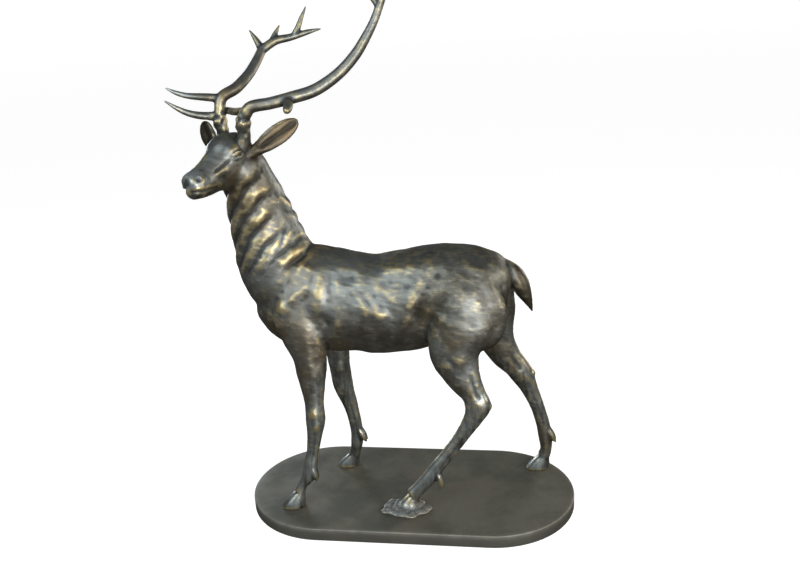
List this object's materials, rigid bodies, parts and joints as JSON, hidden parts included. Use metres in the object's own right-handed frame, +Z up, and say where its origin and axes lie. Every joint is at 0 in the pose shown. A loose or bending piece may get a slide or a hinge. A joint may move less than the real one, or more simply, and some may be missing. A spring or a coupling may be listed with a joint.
{
  "type": "stag statue",
  "caption": "Cast bronze stag standing on a flat plate with half-round ends, head turned to its left, branched antlers raised.",
  "frame": {"origin": "centre of the base plate's underside", "axes": "+Z up, -X the way the stag's body faces, -Y the stag's left side"},
  "size_m": [1.1634, 0.524, 1.7052],
  "materials": {
    "patinated_bronze": "dark brown patina, satin, rubbed gold on raised forms",
    "plate_bronze": "dark grey-brown patina, matt"
  },
  "bodies": {
    "root": {"stag": "patinated_bronze", "base_plate": "plate_bronze"}
  },
  "joints": []
}
